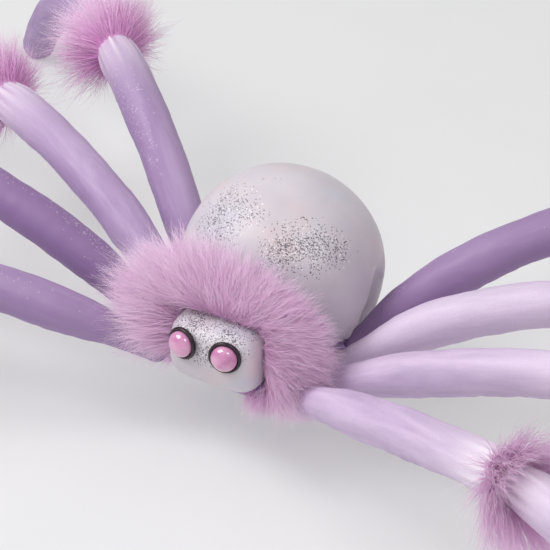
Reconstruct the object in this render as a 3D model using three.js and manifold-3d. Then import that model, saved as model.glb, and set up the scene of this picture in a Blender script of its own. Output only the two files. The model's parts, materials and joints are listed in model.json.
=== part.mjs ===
// A poseable plush spider that stands on eight wire-cored legs. Millimetres, +Z up, head towards -Y.
import * as THREE from "three";
import { mergeVertices } from "three/addons/utils/BufferGeometryUtils.js";
import { ConvexGeometry } from "three/addons/geometries/ConvexGeometry.js";
import Module from "manifold-3d";

const wasm = await Module();
wasm.setup();

// ---- driving dimensions ----
const GAP = 0.4; // between pieces that rest on each other
const COVER = 1.6; // fabric cover thickness
const FILLING_GAP = 0.5; // between a cover and its filling

const HIP_HEIGHT = 62; // hip centres above the floor
// hip centres from the middle plane, and ahead of the abdomen's middle, from rear to front
const HIP_SIDE = [60, 64, 64, 57];
const HIP_FORWARD = [3, 27, 51, 73];
const ABDOMEN_RADIUS = 72;
const ABDOMEN_HEIGHT = HIP_HEIGHT + 43;
const HEAD_FORWARD = 81;
const HEAD_HEIGHT = ABDOMEN_HEIGHT - 17;
const HEAD_HALF = [33, 24.5, 25.5]; // half width, half length, half height
const SIDE_SQUARENESS = 6;
const BROW_SQUARENESS = 4;
const CHIN_SQUARENESS = 2.5;
const PAD_FORWARD = 35;
const PAD_HALF = [63, 49, 16];
const PAD_SQUARENESS = 3.2;
const COLLAR_FORWARD = 67;
const COLLAR_HALF = [53, 21, 42];
const COLLAR_SQUARENESS = 2.2;
const STUFFING_HOLE_RADIUS = 16;
const STUFFING_HOLE_FORWARD = 34;
const NECK_HOLE_RADIUS = 13;
const HOLE_REACH = 30; // more than the depth of any hole in a cover
const HOLE_SIDES = 20;

const UPPER_LENGTH = 240; // hip centre to knee centre along the leg
const LOWER_LENGTH = 265; // knee centre to the middle of the foot's round end
const LEG_RADIUS = 16;
const ROOT_RADIUS = 9.6; // where a leg is sewn to the pad
const ROOT_TAPER = 80; // length over which the root swells to the full radius
const FOOT_RADIUS = 13;
const FOOT_TAPER = 90;
const FOOT_CENTRE_HEIGHT = 10.5; // lower than the foot radius, so the weight flattens a sole
const KNEE_SETBACK = 19; // from the knee centre to the round end of each sleeve
const KNEE_BEND = 4; // degrees between the upper and lower leg at rest
const RING_RADIUS = 30;
const RING_ENDS = [29, 5]; // distances before the knee centre
const RING_ROUND = 7;
const RING_CLEAR = 0.8;

const WIRE_RADIUS = 1.3;
const CHANNEL_RADIUS = 2.1;
const FOOT_WIRE_STOP = 30; // the lower wire ends this far before the foot's centre
const HIP_WIRE_ENDS = [12, 24]; // distances inward from the hip centre
const POCKET_ENDS = [7, 26];
const POCKET_HALF_HEIGHT = 2.3;

const SWING = 5; // degrees each way
const LIFT_UP = 20;
const LIFT_DOWN = -25;

const EYE_SIDE = 16.5;
const EYE_ABOVE = 12.8;
const EYE_TURN = 14; // degrees outward
const EYE_TILT = 7; // degrees upward
const EYE_FORWARD = 22.9; // rim's back ahead of the head's middle
const RIM_RADIUS = 11.6;
const RIM_DEPTH = 2.8;
const RIM_BEVEL = 0.9;
const DOME_RADIUS = 9.2;
const DOME_SEAT = 1.2; // depth of the dome's seat, measured from the rim's back
const DOME_RISE = 6.4;
const STEM_RADIUS = 2.2;
const STEM_LENGTH = 10;
const WASHER_RADIUS = 4;
const WASHER_ENDS = [6.8, 8.4]; // distances behind the rim's back

// azimuth: degrees ahead of straight sideways; rise: hip to knee; arch: half the upper leg's turn
const LEGS = [
  { name: "right_rear", side: -1, hip: 0, azimuth: -41.5, rise: 75, arch: 19 },
  { name: "right_mid_rear", side: -1, hip: 1, azimuth: -23.5, rise: 63, arch: 19 },
  { name: "right_mid_front", side: -1, hip: 2, azimuth: 1, rise: 86, arch: 17 },
  { name: "right_front", side: -1, hip: 3, azimuth: 22.5, rise: 73, arch: 5 },
  { name: "left_rear", side: 1, hip: 0, azimuth: -38.5, rise: 93, arch: 23 },
  { name: "left_mid_rear", side: 1, hip: 1, azimuth: -18, rise: 78, arch: 23 },
  { name: "left_mid_front", side: 1, hip: 2, azimuth: 2, rise: 90, arch: 7 },
  { name: "left_front", side: 1, hip: 3, azimuth: 25.5, rise: 77, arch: 4 },
];

const radians = THREE.MathUtils.degToRad;
const material = (color, roughness, metalness = 0) =>
  new THREE.MeshStandardMaterial({ color, roughness, metalness });
const PEARL = () => material(0xd2cad4, 0.55, 0.1);
const FUR = () => material(0xd0aece, 0.9);
const VELVET = () => material(0xc3a9d2, 0.7);
const FILLING = () => material(0xf2f0ee, 0.95);
const STEEL = () => material(0x9a9ca0, 0.4, 1);
const PINK = () => material(0xd0749f, 0.12);
const BLACK = () => material(0x241a22, 0.25);
const WASHER = () => material(0xe8e6e2, 0.5);

// ---- solids ----
function solid(geometry) {
  const bare = geometry.clone();
  bare.deleteAttribute("normal");
  bare.deleteAttribute("uv");
  const joined = mergeVertices(bare, 1e-4);
  return new wasm.Manifold(
    new wasm.Mesh({
      numProp: 3,
      vertProperties: new Float32Array(joined.attributes.position.array),
      triVerts: new Uint32Array(joined.index.array),
    }),
  );
}

function geometryOf(body) {
  const mesh = body.getMesh();
  const geometry = new THREE.BufferGeometry();
  geometry.setAttribute(
    "position",
    new THREE.BufferAttribute(new Float32Array(mesh.vertProperties), 3),
  );
  geometry.setIndex(new THREE.BufferAttribute(new Uint32Array(mesh.triVerts), 1));
  geometry.computeVertexNormals();
  return geometry;
}

const parts = new THREE.Group();
function add(name, body, look) {
  const mesh = new THREE.Mesh(geometryOf(body), look);
  mesh.name = name;
  parts.add(mesh);
}

// the size of a direction: squareness 2 makes an ellipsoid, a higher one is boxier
const evenly = (squareness) => (v) =>
  [v.x, v.y, v.z].reduce((sum, c) => sum + Math.abs(c) ** squareness, 0) ** (1 / squareness);

// a head is squarer at its sides and brow than at its chin
function headSize({ x, y, z }) {
  const profile = z > 0 ? BROW_SQUARENESS : CHIN_SQUARENESS;
  const inner = (Math.abs(y) ** profile + Math.abs(z) ** profile) ** (1 / profile);
  return (Math.abs(x) ** SIDE_SQUARENESS + inner ** SIDE_SQUARENESS) ** (1 / SIDE_SQUARENESS);
}

// a rounded box or ball
function rounded(half, sizeOf, centre, around, down) {
  const geometry = new THREE.SphereGeometry(1, around, down);
  geometry.rotateX(Math.PI / 2);
  const at = geometry.attributes.position;
  const v = new THREE.Vector3();
  for (let i = 0; i < at.count; i += 1) {
    v.fromBufferAttribute(at, i);
    v.divideScalar(sizeOf(v));
    at.setXYZ(
      i,
      v.x * half[0] + centre[0],
      v.y * half[1] + centre[1],
      v.z * half[2] + centre[2],
    );
  }
  return solid(geometry);
}

const grown = (half, by) => half.map((h) => h + by);

// a closed tube through sections, each with a centre, two cross directions and a radius;
// a section of radius 0 closes an end in a point
function tube(sections, sides) {
  const points = [];
  const faces = [];
  const starts = [];
  for (const { centre, across, up, radius } of sections) {
    starts.push(points.length / 3);
    const count = radius > 0 ? sides : 1;
    for (let k = 0; k < count; k += 1) {
      const angle = (2 * Math.PI * k) / sides;
      const p = centre
        .clone()
        .addScaledVector(across, radius * Math.cos(angle))
        .addScaledVector(up, radius * Math.sin(angle));
      points.push(p.x, p.y, p.z);
    }
  }
  for (let i = 0; i + 1 < sections.length; i += 1) {
    const [a, b] = [starts[i], starts[i + 1]];
    for (let k = 0; k < sides; k += 1) {
      const next = (k + 1) % sides;
      if (sections[i].radius > 0) {
        faces.push(a + k, a + next, b + (sections[i + 1].radius > 0 ? k : 0));
      }
      if (sections[i + 1].radius > 0) {
        faces.push(sections[i].radius > 0 ? a + next : a, b + next, b + k);
      }
    }
  }
  const close = (start, flip) => {
    for (let k = 1; k + 1 < sides; k += 1) {
      faces.push(start, start + (flip ? k + 1 : k), start + (flip ? k : k + 1));
    }
  };
  if (sections[0].radius > 0) close(starts[0], true);
  if (sections.at(-1).radius > 0) close(starts.at(-1), false);
  const geometry = new THREE.BufferGeometry();
  geometry.setAttribute("position", new THREE.Float32BufferAttribute(points, 3));
  geometry.setIndex(faces);
  return solid(geometry);
}

// ---- the legs' lines ----
// world directions of one leg: outward in plan, and level across the leg
function legFrame(leg, swing = 0) {
  const angle = radians(leg.azimuth + swing);
  const out = new THREE.Vector3(leg.side * Math.cos(angle), -Math.sin(angle), 0);
  const hip = new THREE.Vector3(leg.side * HIP_SIDE[leg.hip], -HIP_FORWARD[leg.hip], HIP_HEIGHT);
  return { out, hip, across: new THREE.Vector3(-out.y, out.x, 0) };
}

// a point on an arc that starts at an angle above level and turns down evenly
function onArc(start, angle, turn, length, s) {
  const rate = turn / length;
  const here = angle - rate * s;
  return {
    u: start.u + (Math.sin(angle) - Math.sin(here)) / rate,
    z: start.z + (Math.cos(here) - Math.cos(angle)) / rate,
    angle: here,
  };
}

function upperArc(leg, lift = 0) {
  const arch = radians(leg.arch);
  const chord = (UPPER_LENGTH * Math.sin(arch)) / arch;
  const angle = Math.asin(leg.rise / chord) + arch + radians(lift);
  return (s) => onArc({ u: 0, z: 0 }, angle, 2 * arch, UPPER_LENGTH, s);
}

// the lower leg curves just enough for its foot to meet the floor
function lowerArc(leg) {
  const knee = upperArc(leg)(UPPER_LENGTH);
  const angle = knee.angle - radians(KNEE_BEND);
  const wanted = FOOT_CENTRE_HEIGHT - HIP_HEIGHT;
  let [low, high] = [0.1, 3];
  while (high - low > 1e-9) {
    const turn = (low + high) / 2;
    if (onArc(knee, angle, turn, LOWER_LENGTH, LOWER_LENGTH).z > wanted) low = turn;
    else high = turn;
  }
  return (s) => onArc(knee, angle, low, LOWER_LENGTH, s);
}

function section(frame, arc, s, radius) {
  const { u, z, angle } = arc(s);
  const up = frame.out.clone().multiplyScalar(-Math.sin(angle));
  up.z = Math.cos(angle);
  const centre = frame.hip.clone().addScaledVector(frame.out, u);
  centre.z += z;
  return { centre, across: frame.across, up, radius };
}

const smooth = (t) => THREE.MathUtils.smoothstep(t, 0, 1);
const upperRadius = (s) => ROOT_RADIUS + (LEG_RADIUS - ROOT_RADIUS) * smooth(s / ROOT_TAPER);
const lowerRadius = (s) =>
  LEG_RADIUS - (LEG_RADIUS - FOOT_RADIUS) * smooth(1 - (LOWER_LENGTH - s) / FOOT_TAPER);

// [distance, radius] pairs of a sleeve with a round end at each end
const CAP_ANGLES = [0, 32, 62];
function sleeveStations(first, last, body, radiusAt) {
  const start = CAP_ANGLES.map((a) => [
    first - radiusAt(first) * Math.cos(radians(a)),
    radiusAt(first) * Math.sin(radians(a)),
  ]);
  const end = CAP_ANGLES.map((a) => [
    last + radiusAt(last) * Math.cos(radians(a)),
    radiusAt(last) * Math.sin(radians(a)),
  ]).reverse();
  const middle = [first, ...body, last].map((s) => [s, radiusAt(s)]);
  return [...start, ...middle, ...end];
}

const SLEEVE_SIDES = 14;
const WIRE_SIDES = 6;
const UPPER_LAST = UPPER_LENGTH - KNEE_SETBACK;
const UPPER_STATIONS = sleeveStations(0, UPPER_LAST, [22, 46, 72, 116, 160, 202], upperRadius);
const LOWER_STATIONS = sleeveStations(
  KNEE_SETBACK,
  LOWER_LENGTH,
  [62, 110, 158, 206, 240],
  lowerRadius,
);
const UPPER_WIRE = [-8, 50, 110, 170, UPPER_LENGTH - 6];
const ROOT_OPENING = -14; // the channel's open end, past the root's round end
const LOWER_WIRE = [6, 60, 120, 180, LOWER_LENGTH - FOOT_WIRE_STOP];

const along = (frame, arc, stations, sides) =>
  tube(
    stations.map(([s, radius]) => section(frame, arc, s, radius)),
    sides,
  );
const evenTube = (frame, arc, places, radius) =>
  along(
    frame,
    arc,
    places.map((s) => [s, radius]),
    WIRE_SIDES,
  );

// the round seat of a leg's root, and the space the root sweeps through between its limits
const SEAT_CLEAR = 0.7;
const SEAT_FACETS = [12, 6];
const seat = (centre, radius) => {
  const geometry = new THREE.SphereGeometry(radius, ...SEAT_FACETS);
  geometry.rotateX(Math.PI / 2);
  geometry.translate(centre.x, centre.y, centre.z);
  return solid(geometry);
};
const SWEEP_STATIONS = [0, 32, 64, 90];
const SWEEP_CLEAR = 1.4;
const SWEEP_SIDES = 12;
function sweep(leg, more) {
  const points = [];
  for (const swing of [-SWING, SWING]) {
    for (const lift of [LIFT_DOWN, LIFT_UP]) {
      const frame = legFrame(leg, swing);
      const arc = upperArc(leg, lift);
      for (const s of SWEEP_STATIONS) {
        const ring = section(frame, arc, s, upperRadius(s) + SWEEP_CLEAR + more);
        for (let k = 0; k < SWEEP_SIDES; k += 1) {
          const angle = (2 * Math.PI * k) / SWEEP_SIDES;
          points.push(
            ring.centre
              .clone()
              .addScaledVector(ring.across, ring.radius * Math.cos(angle))
              .addScaledVector(ring.up, ring.radius * Math.sin(angle)),
          );
        }
      }
    }
  }
  return solid(new ConvexGeometry(points)).add(
    seat(legFrame(leg).hip, ROOT_RADIUS + SEAT_CLEAR + more),
  );
}

// the hollow a hip wire swings in, open into the hip's seat
function wirePocket(leg) {
  const points = [];
  for (const t of POCKET_ENDS) {
    const half = CHANNEL_RADIUS + t * Math.sin(radians(SWING));
    const { out, hip, across } = legFrame(leg);
    for (const side of [-half, half]) {
      for (const height of [-POCKET_HALF_HEIGHT, POCKET_HALF_HEIGHT]) {
        const p = hip.clone().addScaledVector(out, -t).addScaledVector(across, side);
        p.z += height;
        points.push(p);
      }
    }
  }
  return solid(new ConvexGeometry(points));
}

// ---- the body's forms ----
const ABDOMEN_AT = [0, 0, ABDOMEN_HEIGHT];
const HEAD_AT = [0, -HEAD_FORWARD, HEAD_HEIGHT];
const PAD_AT = [0, -PAD_FORWARD, HIP_HEIGHT];
const COLLAR_AT = [0, -COLLAR_FORWARD, ABDOMEN_HEIGHT - 14];
const abdomenForm = (by) =>
  rounded([1, 1, 1].map(() => ABDOMEN_RADIUS + by), evenly(2), ABDOMEN_AT, 28, 16);
const headForm = (by) => rounded(grown(HEAD_HALF, by), headSize, HEAD_AT, 24, 14);
const padForm = (by) => rounded(grown(PAD_HALF, by), evenly(PAD_SQUARENESS), PAD_AT, 20, 10);

const clearOfLegs = (body, legs = LEGS, more = 0) =>
  legs.reduce((left, leg) => left.subtract(sweep(leg, more)), body);

// the abdomen sits on the pad, and the rear leg roots press into its lower sides
const BELOW_PAD = 24;
const rearLegs = LEGS.filter((leg) => leg.hip < 2);
const abdomenBlock = (inside) => {
  const pressed = clearOfLegs(abdomenForm(-inside), rearLegs, inside);
  const pad = padForm(GAP + inside);
  return pressed.subtract(pad).subtract(pad.translate([0, 0, -BELOW_PAD]));
};
const stuffingHole = solid(
  new THREE.CylinderGeometry(STUFFING_HOLE_RADIUS, STUFFING_HOLE_RADIUS, HOLE_REACH, HOLE_SIDES)
    .rotateX(Math.PI / 2)
    .translate(0, -STUFFING_HOLE_FORWARD, HIP_HEIGHT + PAD_HALF[2]),
);

add(
  "abdomen_cover",
  abdomenBlock(0).subtract(abdomenBlock(COVER)).subtract(stuffingHole),
  PEARL(),
);
add("abdomen_filling", abdomenBlock(COVER + FILLING_GAP), FILLING());

// ---- eyes ----
function eyePlace(side) {
  const turn = radians(EYE_TURN) * side;
  const spin = new THREE.Matrix4().makeRotationZ(turn);
  const at = new THREE.Vector3(side * EYE_SIDE, -HEAD_FORWARD - EYE_FORWARD, 0);
  at.z = HEAD_HEIGHT + EYE_ABOVE;
  return new THREE.Matrix4()
    .makeTranslation(at.x, at.y, at.z)
    .multiply(spin)
    .multiply(new THREE.Matrix4().makeRotationX(Math.PI / 2 - radians(EYE_TILT)));
}

// profile points are [radius, distance ahead of the rim's back]
function turned(profile, place, around) {
  const points = profile.map(([r, h]) => new THREE.Vector2(r, h));
  const geometry = new THREE.LatheGeometry(points, around);
  geometry.rotateX(Math.PI / 2);
  geometry.applyMatrix4(place);
  return solid(geometry);
}

const EYE_AROUND = 18;
const rimProfile = [
  [0, -STEM_LENGTH],
  [STEM_RADIUS, -STEM_LENGTH],
  [STEM_RADIUS, 0],
  [RIM_RADIUS, 0],
  [RIM_RADIUS, RIM_DEPTH - RIM_BEVEL],
  [RIM_RADIUS - RIM_BEVEL, RIM_DEPTH],
  [DOME_RADIUS + 0.5, RIM_DEPTH],
  [DOME_RADIUS + 0.3, DOME_SEAT],
  [0, DOME_SEAT],
];
const domeProfile = [
  [0, DOME_SEAT + 0.3],
  [DOME_RADIUS, DOME_SEAT + 0.3],
];
const DOME_STEPS = 5;
const DOME_LIP = DOME_SEAT + 1.8;
for (let i = 0; i <= DOME_STEPS; i += 1) {
  const angle = ((i / DOME_STEPS) * Math.PI) / 2;
  const r = i === DOME_STEPS ? 0 : DOME_RADIUS * Math.cos(angle);
  domeProfile.push([r, DOME_LIP + DOME_RISE * Math.sin(angle)]);
}
const washerProfile = [
  [STEM_RADIUS + 0.3, -WASHER_ENDS[1]],
  [WASHER_RADIUS, -WASHER_ENDS[1]],
  [WASHER_RADIUS, -WASHER_ENDS[0]],
  [STEM_RADIUS + 0.3, -WASHER_ENDS[0]],
  [STEM_RADIUS + 0.3, -WASHER_ENDS[1]],
];
const plug = (place, radius, from, to) =>
  turned(
    [
      [0, from],
      [radius, from],
      [radius, to],
      [0, to],
    ],
    place,
    EYE_AROUND,
  );

const eyes = [
  { name: "right_eye", place: eyePlace(-1) },
  { name: "left_eye", place: eyePlace(1) },
];
for (const { name, place } of eyes) {
  add(`${name}_rim`, turned(rimProfile, place, EYE_AROUND), BLACK());
  add(`${name}_dome`, turned(domeProfile, place, EYE_AROUND), PINK());
  add(`${name}_washer`, turned(washerProfile, place, EYE_AROUND), WASHER());
}

// ---- head ----
const EYE_SEAT_REACH = 14;
const seated = (body, deeper) =>
  eyes.reduce(
    (left, { place }) =>
      left.subtract(plug(place, RIM_RADIUS + GAP + deeper, -GAP - deeper, EYE_SEAT_REACH)),
    body,
  );
const headBlock = (by) =>
  seated(headForm(-by), by).subtract(abdomenForm(GAP + by));
const neckHole = solid(
  new THREE.CylinderGeometry(NECK_HOLE_RADIUS, NECK_HOLE_RADIUS, HOLE_REACH, HOLE_SIDES).translate(
    0,
    -ABDOMEN_RADIUS,
    HEAD_HEIGHT,
  ),
);
const pierced = (body, radius) =>
  eyes.reduce((left, { place }) => left.subtract(plug(place, radius, -STEM_LENGTH - 2, 2)), body);
add(
  "head_cover",
  pierced(
    headBlock(0).subtract(headBlock(COVER)).subtract(neckHole),
    STEM_RADIUS + GAP,
  ),
  PEARL(),
);
const headFilling = eyes.reduce(
  (left, { place }) =>
    left.subtract(plug(place, WASHER_RADIUS + GAP, -WASHER_ENDS[1] - GAP, 2)),
  headBlock(COVER + FILLING_GAP),
);
add("head_filling", pierced(headFilling, STEM_RADIUS + GAP), FILLING());

// ---- pad and collar ----
let pad = clearOfLegs(padForm(0).subtract(headForm(GAP)));
for (const leg of LEGS) pad = pad.subtract(wirePocket(leg));
add("thorax_pad", pad, VELVET());

const collar = rounded(COLLAR_HALF, evenly(COLLAR_SQUARENESS), COLLAR_AT, 24, 12)
  .subtract(abdomenForm(GAP))
  .subtract(headForm(GAP))
  .subtract(padForm(GAP));
add("fur_collar", clearOfLegs(collar), FUR());

// ---- legs ----
function hipWire(frame) {
  const level = new THREE.Vector3(0, 0, 1);
  const ends = HIP_WIRE_ENDS.map((t) => ({
    centre: frame.hip.clone().addScaledVector(frame.out, -t),
    across: frame.across,
    up: level,
    radius: WIRE_RADIUS,
  })).reverse();
  return tube(ends, WIRE_SIDES);
}

function kneeRing(frame, arc) {
  const [from, to] = RING_ENDS.map((d) => UPPER_LENGTH - d);
  const inner = LEG_RADIUS + RING_CLEAR;
  const outer = [
    [from, inner + RING_ROUND / 2],
    [from + RING_ROUND / 2, RING_RADIUS - RING_ROUND / 2],
    [from + RING_ROUND, RING_RADIUS],
    [to - RING_ROUND, RING_RADIUS],
    [to - RING_ROUND / 2, RING_RADIUS - RING_ROUND / 2],
    [to, inner + RING_ROUND / 2],
  ];
  const hole = [from - 5, (from + to) / 2, to + 5].map((s) => [s, inner]);
  return along(frame, arc, outer, SLEEVE_SIDES).subtract(
    along(frame, arc, hole, SLEEVE_SIDES),
  );
}

const floor = solid(new THREE.BoxGeometry(2000, 2000, 100).translate(0, 0, -50));
for (const leg of LEGS) {
  const frame = legFrame(leg);
  const upper = upperArc(leg);
  const lower = lowerArc(leg);
  const upperChannel = [ROOT_OPENING, ...UPPER_WIRE, UPPER_LENGTH];
  const lowerChannel = [0, ...LOWER_WIRE, LOWER_LENGTH - FOOT_WIRE_STOP + 2];
  add(`${leg.name}_hip_wire`, hipWire(frame), STEEL());
  add(
    `${leg.name}_upper_sleeve`,
    along(frame, upper, UPPER_STATIONS, SLEEVE_SIDES).subtract(
      evenTube(frame, upper, upperChannel, CHANNEL_RADIUS),
    ),
    VELVET(),
  );
  add(`${leg.name}_upper_wire`, evenTube(frame, upper, UPPER_WIRE, WIRE_RADIUS), STEEL());
  add(`${leg.name}_knee_fur`, kneeRing(frame, upper), FUR());
  add(
    `${leg.name}_lower_sleeve`,
    along(frame, lower, LOWER_STATIONS, SLEEVE_SIDES)
      .subtract(floor)
      .subtract(evenTube(frame, lower, lowerChannel, CHANNEL_RADIUS)),
    VELVET(),
  );
  add(`${leg.name}_lower_wire`, evenTube(frame, lower, LOWER_WIRE, WIRE_RADIUS), STEEL());
}

// the origin is the middle of the whole toy's footprint, on the floor
const group = new THREE.Group();
const box = new THREE.Box3().setFromObject(parts);
const middle = box.getCenter(new THREE.Vector3());
parts.position.set(-middle.x, -middle.y, 0);
group.add(parts);
export default group;
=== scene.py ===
import json
import math

import bpy
import numpy as np
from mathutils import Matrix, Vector, noise
from mathutils.kdtree import KDTree


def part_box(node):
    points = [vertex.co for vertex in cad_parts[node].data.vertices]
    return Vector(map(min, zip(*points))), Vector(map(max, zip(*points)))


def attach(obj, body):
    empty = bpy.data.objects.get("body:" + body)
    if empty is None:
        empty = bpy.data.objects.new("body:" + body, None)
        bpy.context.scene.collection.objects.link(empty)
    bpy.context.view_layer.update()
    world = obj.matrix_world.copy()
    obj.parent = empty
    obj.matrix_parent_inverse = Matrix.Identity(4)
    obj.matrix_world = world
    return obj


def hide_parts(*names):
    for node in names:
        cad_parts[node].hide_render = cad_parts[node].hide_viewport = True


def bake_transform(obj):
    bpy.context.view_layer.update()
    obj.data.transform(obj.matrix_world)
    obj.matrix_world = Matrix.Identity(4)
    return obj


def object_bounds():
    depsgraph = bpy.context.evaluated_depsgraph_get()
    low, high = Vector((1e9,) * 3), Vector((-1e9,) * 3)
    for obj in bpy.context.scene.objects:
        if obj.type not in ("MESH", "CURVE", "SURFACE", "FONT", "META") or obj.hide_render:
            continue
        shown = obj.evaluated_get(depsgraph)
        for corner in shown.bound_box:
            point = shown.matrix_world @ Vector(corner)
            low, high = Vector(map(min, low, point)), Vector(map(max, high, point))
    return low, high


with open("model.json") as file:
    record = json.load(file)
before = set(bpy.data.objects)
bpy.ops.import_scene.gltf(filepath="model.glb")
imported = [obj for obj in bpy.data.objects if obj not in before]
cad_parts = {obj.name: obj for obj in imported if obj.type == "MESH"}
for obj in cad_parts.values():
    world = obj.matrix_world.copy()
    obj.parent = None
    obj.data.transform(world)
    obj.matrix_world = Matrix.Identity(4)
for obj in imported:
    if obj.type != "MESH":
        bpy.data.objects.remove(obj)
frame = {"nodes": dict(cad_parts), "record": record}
cad_low, cad_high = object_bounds()
record = frame["record"]
joints = {j["name"]: j for j in record["behaviour"]["joints"]}
mounts = {m["name"]: m for m in record["mounts"]}
LEGS = sorted(n[: -len("_knee")] for n in joints if n.endswith("_knee"))
scene = bpy.context.scene
MM = 0.001


def middle(node):
    low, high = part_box(node)
    return (np.array(low) + np.array(high)) / 2


def half(node):
    low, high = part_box(node)
    return (np.array(high) - np.array(low)) / 2


def unit(v):
    v = np.asarray(v, float)
    return v / np.maximum(np.linalg.norm(v, axis=-1, keepdims=True), 1e-12)


def corners(node):
    """The CAD node's vertices in the row frame."""
    o = frame["nodes"][node]
    co = np.empty(len(o.data.vertices) * 3)
    o.data.vertices.foreach_get("co", co)
    m = np.array(o.matrix_world)
    return co.reshape(-1, 3) @ m[:3, :3].T + m[:3, 3]


ABDOMEN = middle("abdomen_cover")
ABDOMEN_R = half("abdomen_cover")[0]
HEAD = middle("head_cover")
HEAD_HALF = np.array([33, 24.5, 25.5]) * MM
HEAD[1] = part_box("head_cover")[0][1] + HEAD_HALF[1]

# ---------------------------------------------------------------- camera
AZIMUTH, ELEVATION = math.radians(30), math.radians(35)
DISTANCE = 2.4
# the width seen at the abdomen, and how far the camera aims to its right and above it
SEEN_WIDTH = 377.3 * MM
AIM_RIGHT, AIM_ABOVE = -4.802 * MM, -6.174 * MM
SENSOR_MM = 36
back = np.array(
    [
        math.sin(AZIMUTH) * math.cos(ELEVATION),
        -math.cos(AZIMUTH) * math.cos(ELEVATION),
        math.sin(ELEVATION),
    ]
)
right = np.array([math.cos(AZIMUTH), math.sin(AZIMUTH), 0])
above = np.cross(back, right)
target = ABDOMEN + right * AIM_RIGHT + above * AIM_ABOVE
camera = bpy.data.objects.new("camera", bpy.data.cameras.new("camera"))
scene.collection.objects.link(camera)
camera.location = Vector(target + back * DISTANCE)
camera.rotation_mode = "QUATERNION"
camera.rotation_quaternion = Vector(back).to_track_quat("Z", "Y")
camera.data.sensor_width = SENSOR_MM
camera.data.lens = SENSOR_MM * DISTANCE / SEEN_WIDTH
camera.data.clip_start, camera.data.clip_end = 0.05, 30
scene.camera = camera


# ---------------------------------------------------------------- mesh helpers
def make_object(name, points, faces, smooth=True):
    mesh = bpy.data.meshes.new(name)
    mesh.from_pydata([tuple(p) for p in points], [], [tuple(f) for f in faces])
    mesh.validate()
    if smooth:
        mesh.shade_smooth()
    o = bpy.data.objects.new(name, mesh)
    scene.collection.objects.link(o)
    return o


def evaluated(o, name):
    """A new object that holds o's shape with its modifiers applied. o is removed."""
    deps = bpy.context.evaluated_depsgraph_get()
    mesh = bpy.data.meshes.new_from_object(o.evaluated_get(deps), depsgraph=deps)
    mesh.name = name
    mesh.shade_smooth()
    new = bpy.data.objects.new(name, mesh)
    scene.collection.objects.link(new)
    bpy.data.objects.remove(o)
    return new


def points_of(o):
    co = np.empty(len(o.data.vertices) * 3)
    o.data.vertices.foreach_get("co", co)
    return co.reshape(-1, 3)


def normals_of(o):
    n = np.empty(len(o.data.vertices) * 3)
    o.data.vertices.foreach_get("normal", n)
    return n.reshape(-1, 3)


def set_points(o, co):
    o.data.vertices.foreach_set("co", np.ascontiguousarray(co, np.float32).ravel())
    o.data.update()


def copy_of(node, name):
    """A free copy of a CAD solid, welded, in the row frame."""
    source = frame["nodes"][node]
    mesh = source.data.copy()
    mesh.transform(source.matrix_world)
    mesh.materials.clear()
    o = bpy.data.objects.new(name, mesh)
    scene.collection.objects.link(o)
    weld = o.modifiers.new("weld", "WELD")
    weld.merge_threshold = 0.01 * MM
    return o


def field(points, scale, seed):
    """Smooth noise of about -1 to 1 at each point."""
    shift = Vector((seed * 7.31, seed * 3.77, seed * 5.13))
    return np.array([noise.noise(Vector(p) * scale + shift) for p in points])


CLOTH_FRAMES = 20


def stuffed(node, name, voxel, pressure, cap, outward):
    """A pressure-filled soft form grown from a CAD solid.

    No point swells further than cap, and the whole is then drawn outward by its cover's thickness.
    """
    o = copy_of(node, name + "_seed")
    remesh = o.modifiers.new("remesh", "REMESH")
    remesh.mode = "VOXEL"
    remesh.voxel_size = voxel
    o = evaluated(o, name + "_cloth")
    start = points_of(o).copy()
    cloth = o.modifiers.new("cloth", "CLOTH")
    cloth.settings.quality = 5
    cloth.settings.mass = 0.2
    cloth.settings.tension_stiffness = 18
    cloth.settings.compression_stiffness = 18
    cloth.settings.shear_stiffness = 8
    cloth.settings.bending_stiffness = 0.4
    cloth.settings.use_pressure = True
    cloth.settings.uniform_pressure_force = pressure
    cloth.settings.effector_weights.gravity = 0
    cloth.collision_settings.use_collision = False
    cloth.point_cache.frame_start = 1
    cloth.point_cache.frame_end = CLOTH_FRAMES
    for f in range(1, CLOTH_FRAMES + 1):
        scene.frame_set(f)
    o = evaluated(o, name + "_swelled")
    scene.frame_set(1)
    swelled = points_of(o)
    moved = swelled - start
    length = np.linalg.norm(moved, axis=1, keepdims=True)
    moved *= np.minimum(1, cap / np.maximum(length, 1e-9))
    set_points(o, start + moved)
    smooth = o.modifiers.new("smooth", "SMOOTH")
    smooth.factor, smooth.iterations = 0.5, 6
    subdivide = o.modifiers.new("subdivide", "SUBSURF")
    subdivide.levels = subdivide.render_levels = 1
    o = evaluated(o, name)
    if outward:
        set_points(o, points_of(o) + normals_of(o) * outward)
    return o


def mark(o, name, values):
    """Stores one number or one vector for each vertex."""
    values = np.ascontiguousarray(values, np.float32)
    kind, key = ("FLOAT", "value") if values.ndim == 1 else ("FLOAT_VECTOR", "vector")
    o.data.attributes.new(name, kind, "POINT").data.foreach_set(key, values.ravel())


def give(o, *materials):
    o.data.materials.clear()
    for m in materials:
        o.data.materials.append(m)
    return o


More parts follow.
